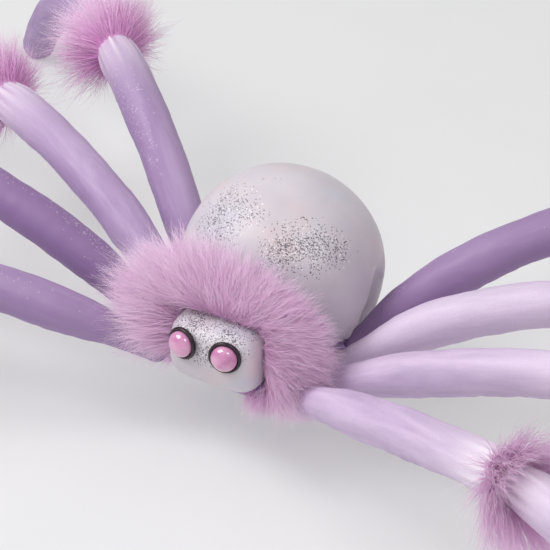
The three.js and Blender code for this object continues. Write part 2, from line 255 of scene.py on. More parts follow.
# ---------------------------------------------------------------- materials
class Nodes:
    """A short way to write a node material."""

    def __init__(self, name):
        self.material = bpy.data.materials.new(name)
        self.material.use_nodes = True
        self.tree = self.material.node_tree
        self.shader = self.tree.nodes["Principled BSDF"]
        self.place = self.node("ShaderNodeTexCoord").outputs["Object"]

    def node(self, kind, **settings):
        n = self.tree.nodes.new(kind)
        for key, value in settings.items():
            setattr(n, key, value)
        return n

    def put(self, socket, value):
        if isinstance(value, bpy.types.NodeSocket):
            self.tree.links.new(value, socket)
        else:
            socket.default_value = value

    def set(self, **values):
        for key, value in values.items():
            self.put(self.shader.inputs[key.replace("_", " ")], value)

    def math(self, operation, a, b, clamp=False):
        n = self.node("ShaderNodeMath", operation=operation, use_clamp=clamp)
        for socket, value in zip(n.inputs, (a, b)):
            self.put(socket, value)
        return n.outputs[0]

    def fit(self, value, low, high, to_low=0.0, to_high=1.0):
        n = self.node("ShaderNodeMapRange")
        for key, v in (
            ("Value", value),
            ("From Min", low),
            ("From Max", high),
            ("To Min", to_low),
            ("To Max", to_high),
        ):
            self.put(n.inputs[key], v)
        return n.outputs[0]

    def noise(self, scale, detail=3.0, roughness=0.5, at=None, distortion=0.0):
        n = self.node("ShaderNodeTexNoise")
        self.put(n.inputs["Vector"], self.place if at is None else at)
        self.put(n.inputs["Scale"], scale)
        self.put(n.inputs["Detail"], detail)
        self.put(n.inputs["Roughness"], roughness)
        self.put(n.inputs["Distortion"], distortion)
        return n.outputs["Fac"]

    def cells(self, scale, output="Color"):
        n = self.node("ShaderNodeTexVoronoi")
        self.put(n.inputs["Vector"], self.place)
        self.put(n.inputs["Scale"], scale)
        return n.outputs[output]

    def mix(self, factor, a, b):
        n = self.node("ShaderNodeMix", data_type="RGBA")
        self.put(n.inputs[0], factor)
        self.put(n.inputs[6], a)
        self.put(n.inputs[7], b)
        return n.outputs[2]

    def stretched(self, scale):
        n = self.node("ShaderNodeMapping")
        self.put(n.inputs["Vector"], self.place)
        self.put(n.inputs["Scale"], scale)
        return n.outputs[0]

    def attribute(self, name, output="Fac"):
        return self.node("ShaderNodeAttribute", attribute_name=name).outputs[output]

    def bump(self, height, strength, distance, normal=None):
        n = self.node("ShaderNodeBump")
        self.put(n.inputs["Height"], height)
        self.put(n.inputs["Strength"], strength)
        self.put(n.inputs["Distance"], distance)
        if normal is not None:
            self.put(n.inputs["Normal"], normal)
        return n.outputs[0]


def srgb(r, g, b):
    lin = [((c / 255 + 0.055) / 1.055) ** 2.4 if c > 10 else c / 3294 for c in (r, g, b)]
    return (*lin, 1.0)


def near(n, point, radius):
    """1 at a point of the surface, falling to 0 at a distance of radius."""
    away = n.node("ShaderNodeVectorMath", operation="DISTANCE")
    n.put(away.inputs[0], n.place)
    away.inputs[1].default_value = tuple(point)
    return n.fit(away.outputs["Value"], 0.0, radius, 1.0, 0.0)


def on_abdomen(aside, up):
    """The abdomen's surface point that faces the camera aside and up, in mm, from its middle."""
    aside, up = aside * MM, up * MM
    depth = math.sqrt(ABDOMEN_R**2 - aside**2 - up**2)
    return ABDOMEN + right * aside + above * up + back * depth


# printed patches: a place, how far they reach in metres, and how dense they are
PATCHES = (
    (on_abdomen(-40, 36), 0.030, 0.8),
    (on_abdomen(-22, 36), 0.016, 0.6),
    (on_abdomen(2, 12), 0.022, 1.0),
    (on_abdomen(20, 13), 0.024, 1.0),
    (on_abdomen(36, 12), 0.016, 0.8),
    (HEAD + HEAD_HALF * [-0.45, -0.55, 0.8], 0.026, 1.0),
    (HEAD + HEAD_HALF * [0.35, -0.5, 0.85], 0.022, 0.8),
    (HEAD + HEAD_HALF * [0.0, -1.0, 0.35], 0.012, 0.9),
)
DOTS_PER_M = 1250
KNIT_PER_M = 1500


def pearl_fabric():
    n = Nodes("pearl_fabric")
    base = n.mix(n.fit(n.noise(13, 3), 0.35, 0.65), srgb(196, 186, 197), srgb(218, 210, 217))
    base = n.mix(n.fit(n.noise(21, 2), 0.54, 0.74, 0.0, 0.8), base, srgb(224, 204, 203))
    cool = n.noise(17, 2, at=n.stretched((1, 1.3, 0.8)))
    base = n.mix(n.fit(cool, 0.56, 0.74, 0.0, 0.7), base, srgb(200, 204, 218))
    # printed stipple in worn, soft-edged patches
    patch = None
    for point, radius, weight in PATCHES:
        spot = n.math("MULTIPLY", near(n, point, radius), weight)
        patch = spot if patch is None else n.math("MAXIMUM", patch, spot)
    streaked = n.noise(60, 3, 0.6, at=n.stretched((1, 1, 2.6)))
    ragged = n.math("MULTIPLY", patch, n.fit(streaked, 0.36, 0.62, 0.35, 1.3))
    worn = n.math("MAXIMUM", ragged, n.fit(n.noise(30, 4, 0.6), 0.6, 0.8, 0.0, 0.12), clamp=True)
    split = n.node("ShaderNodeSeparateColor")
    n.put(split.inputs[0], n.cells(DOTS_PER_M))
    pick = split.outputs[0]
    dot = n.fit(n.cells(DOTS_PER_M, "Distance"), 0.5, 0.75, 1.0, 0.25)
    dark = n.math("MULTIPLY", n.math("LESS_THAN", pick, n.math("MULTIPLY", worn, 0.52)), dot)
    # light flecks of the silver print, painted near-white: painted glints of its foil
    light = n.math("GREATER_THAN", pick, n.math("SUBTRACT", 1.0, n.math("MULTIPLY", worn, 0.14)))
    shade = n.mix(split.outputs[1], srgb(72, 66, 76), srgb(122, 114, 124))
    colour = n.mix(dark, base, shade)
    colour = n.mix(light, colour, srgb(238, 235, 240))
    knit = n.cells(KNIT_PER_M, "Distance")
    colour = n.mix(n.fit(knit, 0.0, 0.8, 0.10, 0.0), colour, srgb(150, 138, 156))
    n.set(Base_Color=colour, Roughness=n.fit(split.outputs[1], 0.0, 1.0, 0.36, 0.52))
    n.shader.inputs["Sheen Weight"].default_value = 0.25
    n.shader.inputs["Sheen Roughness"].default_value = 0.4
    first = n.bump(n.noise(48, 4, 0.55), 0.25, 0.0014)
    second = n.bump(knit, 0.25, 0.0003, first)
    third = n.bump(split.outputs[2], n.fit(worn, 0.0, 1.0, 0.05, 0.25), 0.0001, second)
    n.set(Normal=third)
    return n.material


def velvet():
    n = Nodes("velvet")
    lie = n.attribute("pile_lie", "Vector")
    streaks = n.noise(70, 4, 0.6, at=lie, distortion=0.5)
    crush = n.noise(24, 3, 0.5, at=lie)
    fold = n.noise(11, 2, 0.5)
    colour = n.mix(n.fit(streaks, 0.34, 0.66), srgb(178, 151, 191), srgb(216, 191, 225))
    colour = n.mix(n.fit(crush, 0.5, 0.75, 0.0, 0.6), colour, srgb(226, 204, 232))
    colour = n.mix(n.fit(fold, 0.5, 0.72, 0.0, 0.35), colour, srgb(172, 142, 190))
    # painted shade: some legs are painted darker as a whole, and every leg's flanks darker than its
    # top, for how the light falls on them
    colour = n.mix(n.attribute("nap"), colour, srgb(140, 110, 156))
    # painted shade on each leg's flanks and underside, painted light along its top
    painted_flank_shade = n.mix(0.4, colour, srgb(140, 108, 162))
    colour = n.mix(n.fit(n.attribute("crown"), 0.35, 0.95), painted_flank_shade, colour)
    # painted light towards the knee, on pleat ridges and on legs that face the light; near the knee
    # it is partly a fade of the cloth too
    colour = n.mix(n.attribute("pale"), colour, srgb(250, 238, 250))
    grain = n.noise(1100, 2, 0.7)
    colour = n.mix(n.fit(grain, 0.3, 0.7, 0.16, 0.0), colour, srgb(146, 118, 164))
    # fine foil print in scattered streaks, its glints painted lighter into the colour: painted
    # highlights
    split = n.node("ShaderNodeSeparateColor")
    n.put(split.inputs[0], n.cells(1150))
    where = n.fit(n.noise(34, 4, 0.65, at=lie), 0.56, 0.76, 0.0, 0.24)
    spark = n.math("LESS_THAN", split.outputs[0], where)
    glint = n.mix(split.outputs[1], srgb(196, 172, 210), srgb(246, 234, 250))
    colour = n.mix(n.math("MULTIPLY", spark, 0.4), colour, glint)
    n.set(Base_Color=colour, Roughness=n.fit(streaks, 0.3, 0.7, 0.62, 0.48))
    n.shader.inputs["Sheen Weight"].default_value = 0.15
    n.shader.inputs["Sheen Roughness"].default_value = 0.4
    n.shader.inputs["Sheen Tint"].default_value = srgb(226, 196, 240)
    first = n.bump(streaks, 0.55, 0.0012)
    second = n.bump(grain, 0.4, 0.0003, first)
    third = n.bump(split.outputs[1], n.fit(spark, 0.0, 1.0, 0.03, 0.3), 0.0002, second)
    n.set(Normal=third)
    return n.material


# how far a hair's normal leans to that of its pile, and how much light comes through it
PILE_NORMAL_SHARE = 0.42
THROUGH_SHARE = 0.32


def fur(name, root, mid, tip):
    n = Nodes(name)
    t = n.attribute("along_hair")
    tint = n.attribute("hair_tint")
    colour = n.mix(n.fit(t, 0.0, 0.5), root, mid)
    colour = n.mix(n.fit(t, 0.4, 1.0), colour, tip)
    # each hair's own tone, and painted light on hairs tinted lighter to lift their shade
    colour = n.mix(n.fit(tint, 0.0, 1.0, 0.0, 0.6), colour, tip)
    colour = n.mix(n.fit(n.noise(60, 2), 0.35, 0.65, 0.35, 0.0), colour, mid)
    n.set(Base_Color=colour, Roughness=n.fit(tint, 0.0, 1.0, 0.75, 0.5))
    # thin hairs light like the pile they make up: their normals lean to the pile's own
    turn = n.node("ShaderNodeVectorTransform", vector_type="NORMAL", convert_from="OBJECT")
    turn.convert_to = "WORLD"
    n.put(turn.inputs[0], n.attribute("pile_normal", "Vector"))
    own = n.node("ShaderNodeNewGeometry").outputs["Normal"]
    blend = n.node("ShaderNodeMix", data_type="VECTOR")
    n.put(blend.inputs[0], PILE_NORMAL_SHARE)
    n.put(blend.inputs[4], own)
    n.put(blend.inputs[5], turn.outputs[0])
    whole = n.node("ShaderNodeVectorMath", operation="NORMALIZE")
    n.put(whole.inputs[0], blend.outputs[1])
    n.set(Normal=whole.outputs[0])
    n.shader.inputs["Sheen Weight"].default_value = 0.4
    n.shader.inputs["Sheen Roughness"].default_value = 0.5
    n.shader.inputs["Specular IOR Level"].default_value = 0.3
    # light also comes through each thin hair
    through = n.node("ShaderNodeBsdfTranslucent")
    n.put(through.inputs["Color"], colour)
    n.put(through.inputs["Normal"], whole.outputs[0])
    both = n.node("ShaderNodeMixShader")
    both.inputs[0].default_value = THROUGH_SHARE
    n.put(both.inputs[1], n.shader.outputs[0])
    n.put(both.inputs[2], through.outputs[0])
    n.put(n.tree.nodes["Material Output"].inputs["Surface"], both.outputs[0])
    return n.material


def fur_backing():
    n = Nodes("fur_backing")
    tufts = n.noise(260, 4, 0.7)
    colour = n.mix(n.fit(tufts, 0.35, 0.65), srgb(232, 184, 226), srgb(246, 212, 242))
    n.set(Base_Color=colour, Roughness=0.85)
    n.set(Normal=n.bump(tufts, 0.8, 0.0015))
    n.shader.inputs["Sheen Weight"].default_value = 0.5
    return n.material


def eye_pink():
    n = Nodes("eye_pink")
    swirl = n.noise(120, 3, 0.5)
    colour = n.mix(n.fit(swirl, 0.35, 0.65), srgb(196, 120, 168), srgb(222, 160, 198))
    n.set(Base_Color=colour, Roughness=n.fit(n.noise(300, 2), 0.3, 0.7, 0.06, 0.12))
    n.shader.inputs["Coat Weight"].default_value = 1.0
    n.shader.inputs["Coat Roughness"].default_value = 0.03
    n.shader.inputs["Specular IOR Level"].default_value = 0.7
    n.set(Normal=n.bump(n.noise(40, 2), 0.05, 0.0004))
    return n.material


def eye_black():
    n = Nodes("eye_black")
    wear = n.noise(220, 4, 0.6)
    n.set(
        Base_Color=n.mix(n.fit(wear, 0.5, 0.8, 0.0, 0.4), srgb(38, 24, 34), srgb(72, 54, 66)),
        Roughness=n.fit(wear, 0.3, 0.7, 0.16, 0.34),
    )
    n.set(Normal=n.bump(wear, 0.1, 0.0002))
    return n.material


def plain(name, low, high, scale, rough, metal=0.0, depth=0.0002):
    n = Nodes(name)
    grain = n.noise(scale, 4, 0.6)
    n.set(
        Base_Color=n.mix(n.fit(grain, 0.35, 0.65), low, high),
        Roughness=n.fit(grain, 0.3, 0.7, rough - 0.06, rough + 0.08),
        Metallic=metal,
        Normal=n.bump(grain, 0.3, depth),
    )
    return n.material


PEARL = pearl_fabric()
VELVET = velvet()
FUR = fur("long_pile", srgb(246, 172, 234), srgb(254, 208, 247), srgb(255, 236, 252))
# a lighter copy of the pile: painted light for knee hair that sits in shade
PAINTED_LIGHT_FUR = fur("pale_pile", srgb(250, 182, 240), srgb(255, 212, 249), srgb(255, 234, 252))
BACKING = fur_backing()
EYE_PINK, EYE_BLACK = eye_pink(), eye_black()
STEEL = plain("drawn_wire", srgb(120, 122, 126), srgb(170, 172, 176), 700, 0.38, 1.0)
WASHER = plain("washer_plastic", srgb(214, 210, 204), srgb(236, 233, 228), 200, 0.5)

for name, o in frame["nodes"].items():
    if name.endswith("_wire"):
        give(o, STEEL)
    elif name.endswith("_washer"):
        give(o, WASHER)

# ---------------------------------------------------------------- abdomen, head and pad
abdomen = stuffed("abdomen_filling", "abdomen", 4 * MM, 3.0, 3 * MM, 1.6 * MM)
co = points_of(abdomen)
lumps = field(co, 26, 1) * 0.7 + field(co, 60, 2) * 0.25
set_points(abdomen, co + normals_of(abdomen) * (lumps * MM)[:, None])
give(abdomen, PEARL)
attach(abdomen, "body")
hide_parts("abdomen_cover", "abdomen_filling")

head = stuffed("head_filling", "head", 2.2 * MM, 2.5, 1.2 * MM, 1.6 * MM)
co = points_of(head)
lumps = field(co, 60, 3) * 0.4 + field(co, 150, 4) * 0.15
set_points(head, co + normals_of(head) * (lumps * MM)[:, None])
give(head, PEARL)
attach(head, "body")
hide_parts("head_cover", "head_filling")

pad = stuffed("thorax_pad", "thorax", 3.5 * MM, 2.0, 1.5 * MM, 0.0)
# the pad gets the legs' painted shade all over, with the flanks' painted shade and no painted light
# on top
mark(pad, "pale", np.zeros(len(pad.data.vertices)))
mark(pad, "nap", np.full(len(pad.data.vertices), 0.6))
mark(pad, "crown", np.zeros(len(pad.data.vertices)))
mark(pad, "pile_lie", points_of(pad))
give(pad, VELVET)
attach(pad, "body")
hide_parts("thorax_pad")


# ---------------------------------------------------------------- legs
def wire_line(node, joint):
    """The centres of a wire's rings, in order away from a joint and clear of it."""
    left = corners(node)
    centres = []
    while len(left):
        close = np.linalg.norm(left - left[0], axis=1) < WIRE_RING
        centres.append(left[close].mean(0))
        left = left[~close]
    centres = [c for c in centres if np.linalg.norm(c - joint) > JOINT_CLEAR]
    return sorted(centres, key=lambda c: np.linalg.norm(c - joint))


def spline(points, count):
    """Evenly spaced points of a smooth curve through the given ones, and the length up to each."""
    p = np.array(points, float)
    ends = np.vstack([2 * p[0] - p[1], p, 2 * p[-1] - p[-2]])
    chords = np.linalg.norm(np.diff(ends, axis=0), axis=1) ** 0.5
    knots = np.concatenate([[0], np.cumsum(chords)])
    out = []
    for i in range(1, len(ends) - 2):
        t0, t1, t2, t3 = knots[i - 1 : i + 3]
        t = np.linspace(t1, t2, 40, endpoint=False)[:, None]
        p0, p1, p2, p3 = ends[i - 1 : i + 3]
        a1 = (t1 - t) / (t1 - t0) * p0 + (t - t0) / (t1 - t0) * p1
        a2 = (t2 - t) / (t2 - t1) * p1 + (t - t1) / (t2 - t1) * p2
        a3 = (t3 - t) / (t3 - t2) * p2 + (t - t2) / (t3 - t2) * p3
        b1 = (t2 - t) / (t2 - t0) * a1 + (t - t0) / (t2 - t0) * a2
        b2 = (t3 - t) / (t3 - t1) * a2 + (t - t1) / (t3 - t1) * a3
        out.append((t2 - t) / (t2 - t1) * b1 + (t - t1) / (t2 - t1) * b2)
    fine = np.vstack([*out, p[-1:]])
    run = np.concatenate([[0], np.cumsum(np.linalg.norm(np.diff(fine, axis=0), axis=1))])
    even = np.linspace(0, run[-1], count)
    return np.stack([np.interp(even, run, fine[:, k]) for k in range(3)], 1), even


FOOT_HEIGHT = 10.5 * MM
FLOOR_GAP = 0.2 * MM
# a sleeve's radii in mm, and how far it tapers from its ends in metres
ROOT_RADIUS, LEG_RADIUS, FOOT_INSET, KNEE_INSET = 9.6, 15.8, 2.9, 3.4
ROOT_TAPER, FOOT_TAPER = 0.080, 0.090
GATHERED, PLEATED, PALE_END = 0.016, 0.026, 0.045
# pleats: how many go round, and how deep they are in mm
PLEATS = ((9, 0.30), (14, 0.34), (21, 0.24))
SEAM_DEPTH = 0.9
SLEEVE_ROWS, SLEEVE_SIDES, END_STEPS = 300, 56, 7
WIRE_RING = 4 * MM
JOINT_CLEAR = 20 * MM
# painted shade on each leg as a whole, for how the light falls on it; below 0 the leg gets painted
# light instead
LEG_PAINTED_SHADE_AND_LIGHT = {
    "right_rear": 0.55,
    "right_mid_rear": 0.32,
    "right_mid_front": 1.0,
    "right_front": 0.6,
    "left_rear": 0.78,
    "left_mid_rear": -0.44,
    "left_mid_front": -0.26,
    "left_front": -0.2,
}
lines = {}
for leg in LEGS:
    hip = np.array(joints[leg + "_lift"]["pos_m"])
    knee = np.array(joints[leg + "_knee"]["pos_m"])
    sole = np.array(mounts[leg + "_sole"]["pos_m"]) + [0, 0, FOOT_HEIGHT]
    upper = wire_line(leg + "_upper_wire", hip)
    lower = wire_line(leg + "_lower_wire", knee)
    lines[leg] = dict(hip=hip, knee=knee, sole=sole, points=[hip, *upper, knee, *lower, sole])


def leg_frames(line, count):
    centres, run = spline(line["points"], count)
    tangent = unit(np.gradient(centres, axis=0))
    across = unit(np.cross([0, 0, 1], line["knee"] - line["hip"]))
    across = np.broadcast_to(across, centres.shape)
    up = unit(np.cross(tangent, across))
    return centres, run, tangent, across, up


def ease(t):
    t = np.clip(t, 0, 1)
    return t * t * (3 - 2 * t)


def sleeve(leg, seed):
    line = lines[leg]
    rows, sides, steps = SLEEVE_ROWS, SLEEVE_SIDES, END_STEPS
    centres, run, tangent, across, up = leg_frames(line, rows)
    knee_run = run[np.argmin(np.linalg.norm(centres - line["knee"], axis=1))]
    total = run[-1]
    rng = np.random.default_rng(seed)
    angle = np.linspace(0, 2 * math.pi, sides, endpoint=False)
    s, a = run[:, None], angle[None, :]
    radius = ROOT_RADIUS + (LEG_RADIUS - ROOT_RADIUS) * ease(s / ROOT_TAPER)
    radius = radius - FOOT_INSET * ease(1 - (total - s) / FOOT_TAPER)
    away = np.abs(s - knee_run)
    radius = radius - KNEE_INSET * np.exp(-((away / GATHERED) ** 2))
    # pleats run into the knee ring, and a few into the root
    folds = sum(
        np.cos(k * a + rng.uniform(0, 6.28) + 20 * (s - knee_run) * rng.uniform(-1, 1)) * w
        for k, w in PLEATS
    )
    radius = radius + folds * (2.0 * np.exp(-((away / PLEATED) ** 2)) + 0.6 * np.exp(-s / 0.035))
    ring = np.stack([np.cos(a), np.sin(a)], -1)
    directions = across[:, None] * ring[..., :1] + up[:, None] * ring[..., 1:]
    shape = centres[:, None] + directions * 0.016
    flat = shape.reshape(-1, 3)
    lumps = field(flat, 30, seed) * 0.9 + field(flat, 85, seed + 20) * 0.35
    # slack creases across the leg, on the inside of its bends
    slack = np.stack([s.repeat(sides, 1).ravel() * 150, 0 * flat[:, 0], flat[:, 2] * 25], 1)
    crease = field(slack, 1.0, seed + 40)
    under = np.clip(-np.sin(a), 0, 1) ** 1.5 * np.ones_like(s)
    radius = radius + lumps.reshape(rows, sides) + 0.6 * crease.reshape(rows, sides) * (0.2 + under)
    seam = np.exp(-(((a - 1.5 * math.pi) / 0.07) ** 2))
    radius = radius - SEAM_DEPTH * seam
    body = centres[:, None] + directions * (radius * MM)[..., None]
    # round ends: the root's goes into the pad, the foot's is pressed flat on the floor
    root, foot = [], []
    for i in range(1, steps):
        turn = math.pi / 2 * i / steps
        r0, r1 = radius[0] * MM, radius[-1] * MM
        back_off = centres[0] - tangent[0] * r0.mean() * math.sin(turn)
        root.append(back_off + directions[0] * (r0 * math.cos(turn))[:, None])
        ahead = centres[-1] + tangent[-1] * r1.mean() * math.sin(turn)
        foot.append(ahead + directions[-1] * (r1 * math.cos(turn))[:, None])
    tip0 = centres[0] - tangent[0] * radius[0].mean() * MM
    tip1 = centres[-1] + tangent[-1] * radius[-1].mean() * MM
    rings = [*root[::-1], *body, *foot]
    points = np.vstack([tip0[None], *rings, tip1[None]])
    count = len(rings)
    points[:, 2] = np.maximum(points[:, 2], FLOOR_GAP)
    faces = []
    for k in range(sides):
        faces.append((0, 1 + (k + 1) % sides, 1 + k))
        last = 1 + (count - 1) * sides
        faces.append((len(points) - 1, last + k, last + (k + 1) % sides))
    for i in range(count - 1):
        for k in range(sides):
            p, q = 1 + i * sides, 1 + (i + 1) * sides
            faces.append((p + k, p + (k + 1) % sides, q + (k + 1) % sides, q + k))
    o = make_object(leg + "_sleeve", points, faces)
    place = np.concatenate([run[:1].repeat(steps), run, run[-1:].repeat(steps)])
    place = place.repeat([1] + [sides] * count + [1])
    # near the knee: partly a fade of the cloth, partly painted light; the pleats add painted light
    # on their ridges and painted shade in their hollows, and legs that face the light are painted
    # paler all along
    near_knee = np.exp(-(((place - knee_run) / PALE_END) ** 2))
    ends = np.zeros(1 + (steps - 1) * sides)
    pleat_light_and_shade = np.concatenate([ends, (folds * np.exp(-((away / 0.035) ** 2))).ravel(), ends])
    most = 0.75 if LEG_PAINTED_SHADE_AND_LIGHT[leg] < 0 else 0.6
    mark(o, "pale", near_knee * (most + 0.55 * pleat_light_and_shade) + max(0, -LEG_PAINTED_SHADE_AND_LIGHT[leg]))
    # painted shade over the whole leg
    mark(o, "nap", np.full(len(place), max(0, LEG_PAINTED_SHADE_AND_LIGHT[leg])))
    around = np.concatenate([[0], np.tile(angle, count), [0]])
    # painted light along the leg's top and painted shade on its flanks; legs painted lit keep at
    # least 0.6
    mark(o, "crown", np.maximum(0.5 + 0.5 * np.sin(around), 0.6 if LEG_PAINTED_SHADE_AND_LIGHT[leg] < 0 else 0))
    lie = [place * 0.16 + seed, np.cos(around) * 0.016, np.sin(around) * 0.016]
    mark(o, "pile_lie", np.stack(lie, 1))
    give(o, VELVET)
    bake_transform(o)
    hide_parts(leg + "_upper_sleeve", leg + "_lower_sleeve")
    line.update(centres=centres, run=run, knee_run=knee_run, radius=radius.mean(1) * MM)
    return o


for i, leg in enumerate(LEGS):
    sleeve(leg, i + 1)


# ---------------------------------------------------------------- fur
def push_out(p, lift):
    """Keeps hair outside the abdomen and the head. lift is each hair's own height off them."""
    d = p - ABDOMEN
    r = np.linalg.norm(d, axis=-1, keepdims=True)
    keep = ABDOMEN_R + lift[..., None]
    p = np.where(r < keep, ABDOMEN + d / np.maximum(r, 1e-9) * keep, p)
    d = np.abs((p - HEAD) / (HEAD_HALF + lift[..., None]))
    power = np.where(p[..., 2] > HEAD[2], 4, 2.5)
    profile = (d[..., 1] ** power + d[..., 2] ** power) ** (1 / power)
    r = ((d[..., 0] ** 6 + profile**6) ** (1 / 6))[..., None]
    return np.where(r < 1, HEAD + (p - HEAD) / np.maximum(r, 1e-3), p)


# the rows of a sleeve that the collar can reach
NEAR_BODY = slice(0, 130, 5)


def push_off_legs(p, lift):
    for leg in LEGS:
        line = lines[leg]
        c, rad = line["centres"][NEAR_BODY], line["radius"][NEAR_BODY]
        flat = p.reshape(-1, 3)
        gap = np.linalg.norm(flat[:, None] - c[None], axis=2)
        nearest = gap.argmin(1)
        d = flat - c[nearest]
        r = np.linalg.norm(d, axis=1, keepdims=True)
        keep = (rad[nearest] + np.broadcast_to(lift, p.shape[:-1]).ravel())[:, None]
        flat = np.where(r < keep, c[nearest] + d / np.maximum(r, 1e-9) * keep, flat)
        p = flat.reshape(p.shape)
    return p


HAIR_WIDTH = 0.34 * MM
HAIR_PLACES = 7


def hair_mesh(name, paths, rng, tint, pile_normal, around):
    """Flat tapering hairs along paths, an array of hair, place along it, and x y z.

    Each hair's flat side lies roughly along around.
    """
    count, places, _ = paths.shape
    tangent = unit(np.gradient(paths, axis=1))
    side = around[:, None] + rng.normal(size=(count, 1, 3)) * 0.35
    side = unit(side - (side * tangent).sum(-1, keepdims=True) * tangent)
    t = np.linspace(0, 1, places)
    taper = HAIR_WIDTH * (1 - 0.85 * t**1.3)
    offset = side * taper[None, :, None] / 2
    verts = np.stack([paths - offset, paths + offset], 2).reshape(-1, 3)
    base = (np.arange(count) * places * 2)[:, None] + np.arange(places - 1)[None] * 2
    quads = np.stack([base, base + 1, base + 3, base + 2], -1).reshape(-1, 4)
    mesh = bpy.data.meshes.new(name)
    mesh.vertices.add(len(verts))
    mesh.vertices.foreach_set("co", verts.astype(np.float32).ravel())
    mesh.loops.add(quads.size)
    mesh.loops.foreach_set("vertex_index", quads.astype(np.int32).ravel())
    mesh.polygons.add(len(quads))
    mesh.polygons.foreach_set("loop_start", np.arange(0, quads.size, 4, dtype=np.int32))
    mesh.update(calc_edges=True)
    mesh.shade_smooth()
    o = bpy.data.objects.new(name, mesh)
    scene.collection.objects.link(o)
    mark(o, "along_hair", np.broadcast_to(t[None, :, None], (count, places, 2)).ravel())
    mark(o, "hair_tint", tint.repeat(places * 2))
    mark(o, "pile_normal", pile_normal.repeat(places * 2, axis=0))
    return o


def nearest(points, targets):
    """The index of the target closest to each point."""
    tree = KDTree(len(targets))
    for k, q in enumerate(targets):
        tree.insert(q, k)
    tree.balance()
    return np.array([tree.find(q)[1] for q in points])


LOOSE_SHARE = 0.4


def clumped(roots, ups, length, rng, clumps, gather, droop, flow, wave):
    """Hair paths that leave along ups, turn towards flow and down, and draw together in clumps."""
    count, places = len(roots), HAIR_PLACES
    seeds = rng.choice(count, clumps, replace=False)
    mine = nearest(roots, roots[seeds])
    lean = rng.normal(size=(clumps, 3)) * wave
    t = np.linspace(0, 1, places)[None, :, None]
    own = rng.normal(size=(count, 3)) * wave * 0.6
    start = unit(ups + own * 0.6)
    heading = unit(ups * 0.45 + flow + lean[mine] + own)
    path = roots[:, None] + length[:, None, None] * (
        start[:, None] * (t - 0.5 * t**2) + heading[:, None] * (0.5 * t**2 + 0.12 * t)
    )
    path[..., 2] -= length[:, None] * droop * t[..., 0] ** 2
    centre = path[seeds][mine]
    loose = rng.uniform(0, 1, (count, 1, 1)) < LOOSE_SHARE
    pull = np.where(loose, 0.12, gather * rng.uniform(0.5, 1.0, (count, 1, 1))) * t**1.3
    path = path + (centre - path) * pull
    bend = rng.normal(size=(count, 1, 3)) * 0.055 * length[:, None, None]
    path = path + bend * np.sin(4.2 * t) * t
    tint = np.clip(rng.uniform(0, 1, clumps)[mine] * 0.6 + rng.uniform(0, 0.5, count), 0, 1)
    return path, tint


# bearing from the toy's left, turning up, in degrees, and the pile's length there
COLLAR_REACH = (
    [0, 45, 90, 135, 165, 185, 200, 225, 260, 285, 315, 360],
    [0.52, 0.46, 0.58, 0.74, 0.95, 0.75, 0.26, 0.2, 0.34, 0.6, 0.68, 0.52],
)


COLLAR_HAIRS, PAD_HAIRS = 31000, 1500
COLLAR_SEED = 77
COLLAR_VOXEL = 2.5 * MM
ROOT_SCATTER = 1.2 * MM


def collar_backing():
    """The collar's pelt. Returns its points and normals."""
    backing = copy_of("fur_collar", "collar_seed")
    remesh = backing.modifiers.new("remesh", "REMESH")
    remesh.mode, remesh.voxel_size = "VOXEL", COLLAR_VOXEL
    smooth = backing.modifiers.new("smooth", "SMOOTH")
    smooth.factor, smooth.iterations = 0.5, 8
    backing = evaluated(backing, "collar_backing")
    co, nor = points_of(backing), normals_of(backing)
    set_points(backing, co + nor * (field(co, 160, 9) * 0.8 * MM)[:, None])
    give(backing, BACKING)
    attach(backing, "body")
    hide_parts("fur_collar")
    return co, nor


# the stretch of the pad's front edge that pile hangs over: its middle and half width across,
# the y it lies ahead of, and how short its hairs are
HUNG_MIDDLE, HUNG_HALF, HUNG_AHEAD = 36 * MM, 14 * MM, -62 * MM
HUNG_REACH = 0.27


